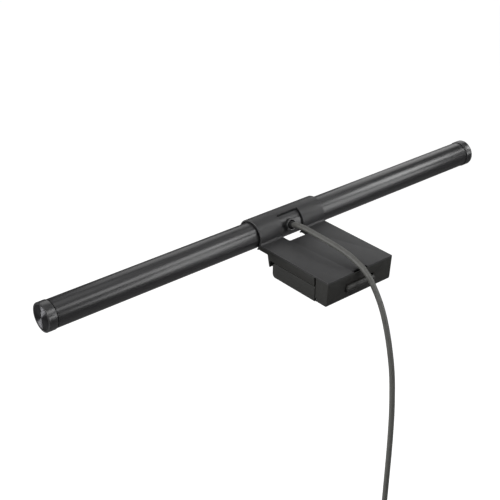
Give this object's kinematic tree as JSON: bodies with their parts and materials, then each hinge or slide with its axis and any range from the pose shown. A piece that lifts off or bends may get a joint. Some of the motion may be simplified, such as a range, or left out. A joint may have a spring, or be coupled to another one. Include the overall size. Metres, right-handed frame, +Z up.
{
  "type": "monitor light bar",
  "caption": "Tube lamp that turns in a sleeve on a clip that hooks over a monitor's top edge, with a spring-loaded folding foot and a USB lead.",
  "frame": {"origin": "where the clip meets the monitor: the face of the front lip's pad, the face of the rest pads, and the middle of the clip's width", "axes": "+X along the bar, to the right of a person at the desk; +Y behind the monitor; +Z up"},
  "size_m": [0.45, 0.2023, 0.2895],
  "materials": {
    "anodised": "black anodised, fine brushed along the bar, satin",
    "saddle": "black anodised, fine bead-blasted satin",
    "plastic": "black, fine moulded texture",
    "gloss": "black, polished",
    "turned": "black anodised, turned in fine rings",
    "diffuser": "milky white, satin",
    "bare": "mill finish",
    "steel": "plain, lightly brushed",
    "board": "white solder mask",
    "circuit": "green solder mask",
    "rubber": "black, matt",
    "cord": "dark grey jacket, satin"
  },
  "bodies": {
    "bracket": {"saddle": "saddle", "sleeve_liner_left": "plastic", "sleeve_liner_right": "plastic", "clip_frame": "plastic", "lip_pad": "rubber", "rest_pad_left": "rubber", "rest_pad_right": "rubber", "frame_screw_left_1": "steel", "frame_screw_left_2": "steel", "frame_screw_right_1": "steel", "frame_screw_right_2": "steel", "rear_block": "plastic", "counterweight_left": "steel", "counterweight_right": "steel", "block_screw_left": "steel", "block_screw_right": "steel", "hinge_pin": "steel", "foot_spring_left": "steel", "foot_spring_right": "steel", "cord_lead": "cord", "cord_coil": "cord", "cord_tie": "rubber", "cord_tail": "cord", "usb_plug_grip": "plastic", "usb_plug_shell": "steel", "usb_plug_tongue": "board"},
    "bar": {"bar_tube": "anodised", "diffuser": "diffuser", "led_rail": "bare", "led_strip": "board", "driver_board": "circuit", "touch_lens": "gloss", "touch_board": "circuit", "socket_collar": "anodised", "cord_bush": "rubber", "end_cap_left": "anodised", "end_cap_right": "anodised", "cap_disc_left": "turned", "cap_disc_right": "turned", "cap_screw_left": "steel", "cap_screw_right": "steel"},
    "foot": {"foot_shell": "plastic", "foot_plate": "steel", "foot_pad": "rubber", "foot_lever": "plastic", "lever_screw_left": "steel", "lever_screw_right": "steel"}
  },
  "joints": [
    {"name": "bar_tilt", "type": "hinge", "parent": "bracket", "child": "bar", "pos_m": [0, -0.0252, 0.0124], "axis": [1, 0, 0], "range_deg": [-14, 26], "deforming": ["cord_lead"]},
    {"name": "foot_fold", "type": "hinge", "parent": "bracket", "child": "foot", "pos_m": [0, 0.051, -0.0116], "axis": [1, 0, 0], "range_deg": [0, 80], "stiffness_Nm_per_rad": 0.1, "springref_deg": -34.38, "deforming": ["foot_spring_left", "foot_spring_right"]}
  ]
}
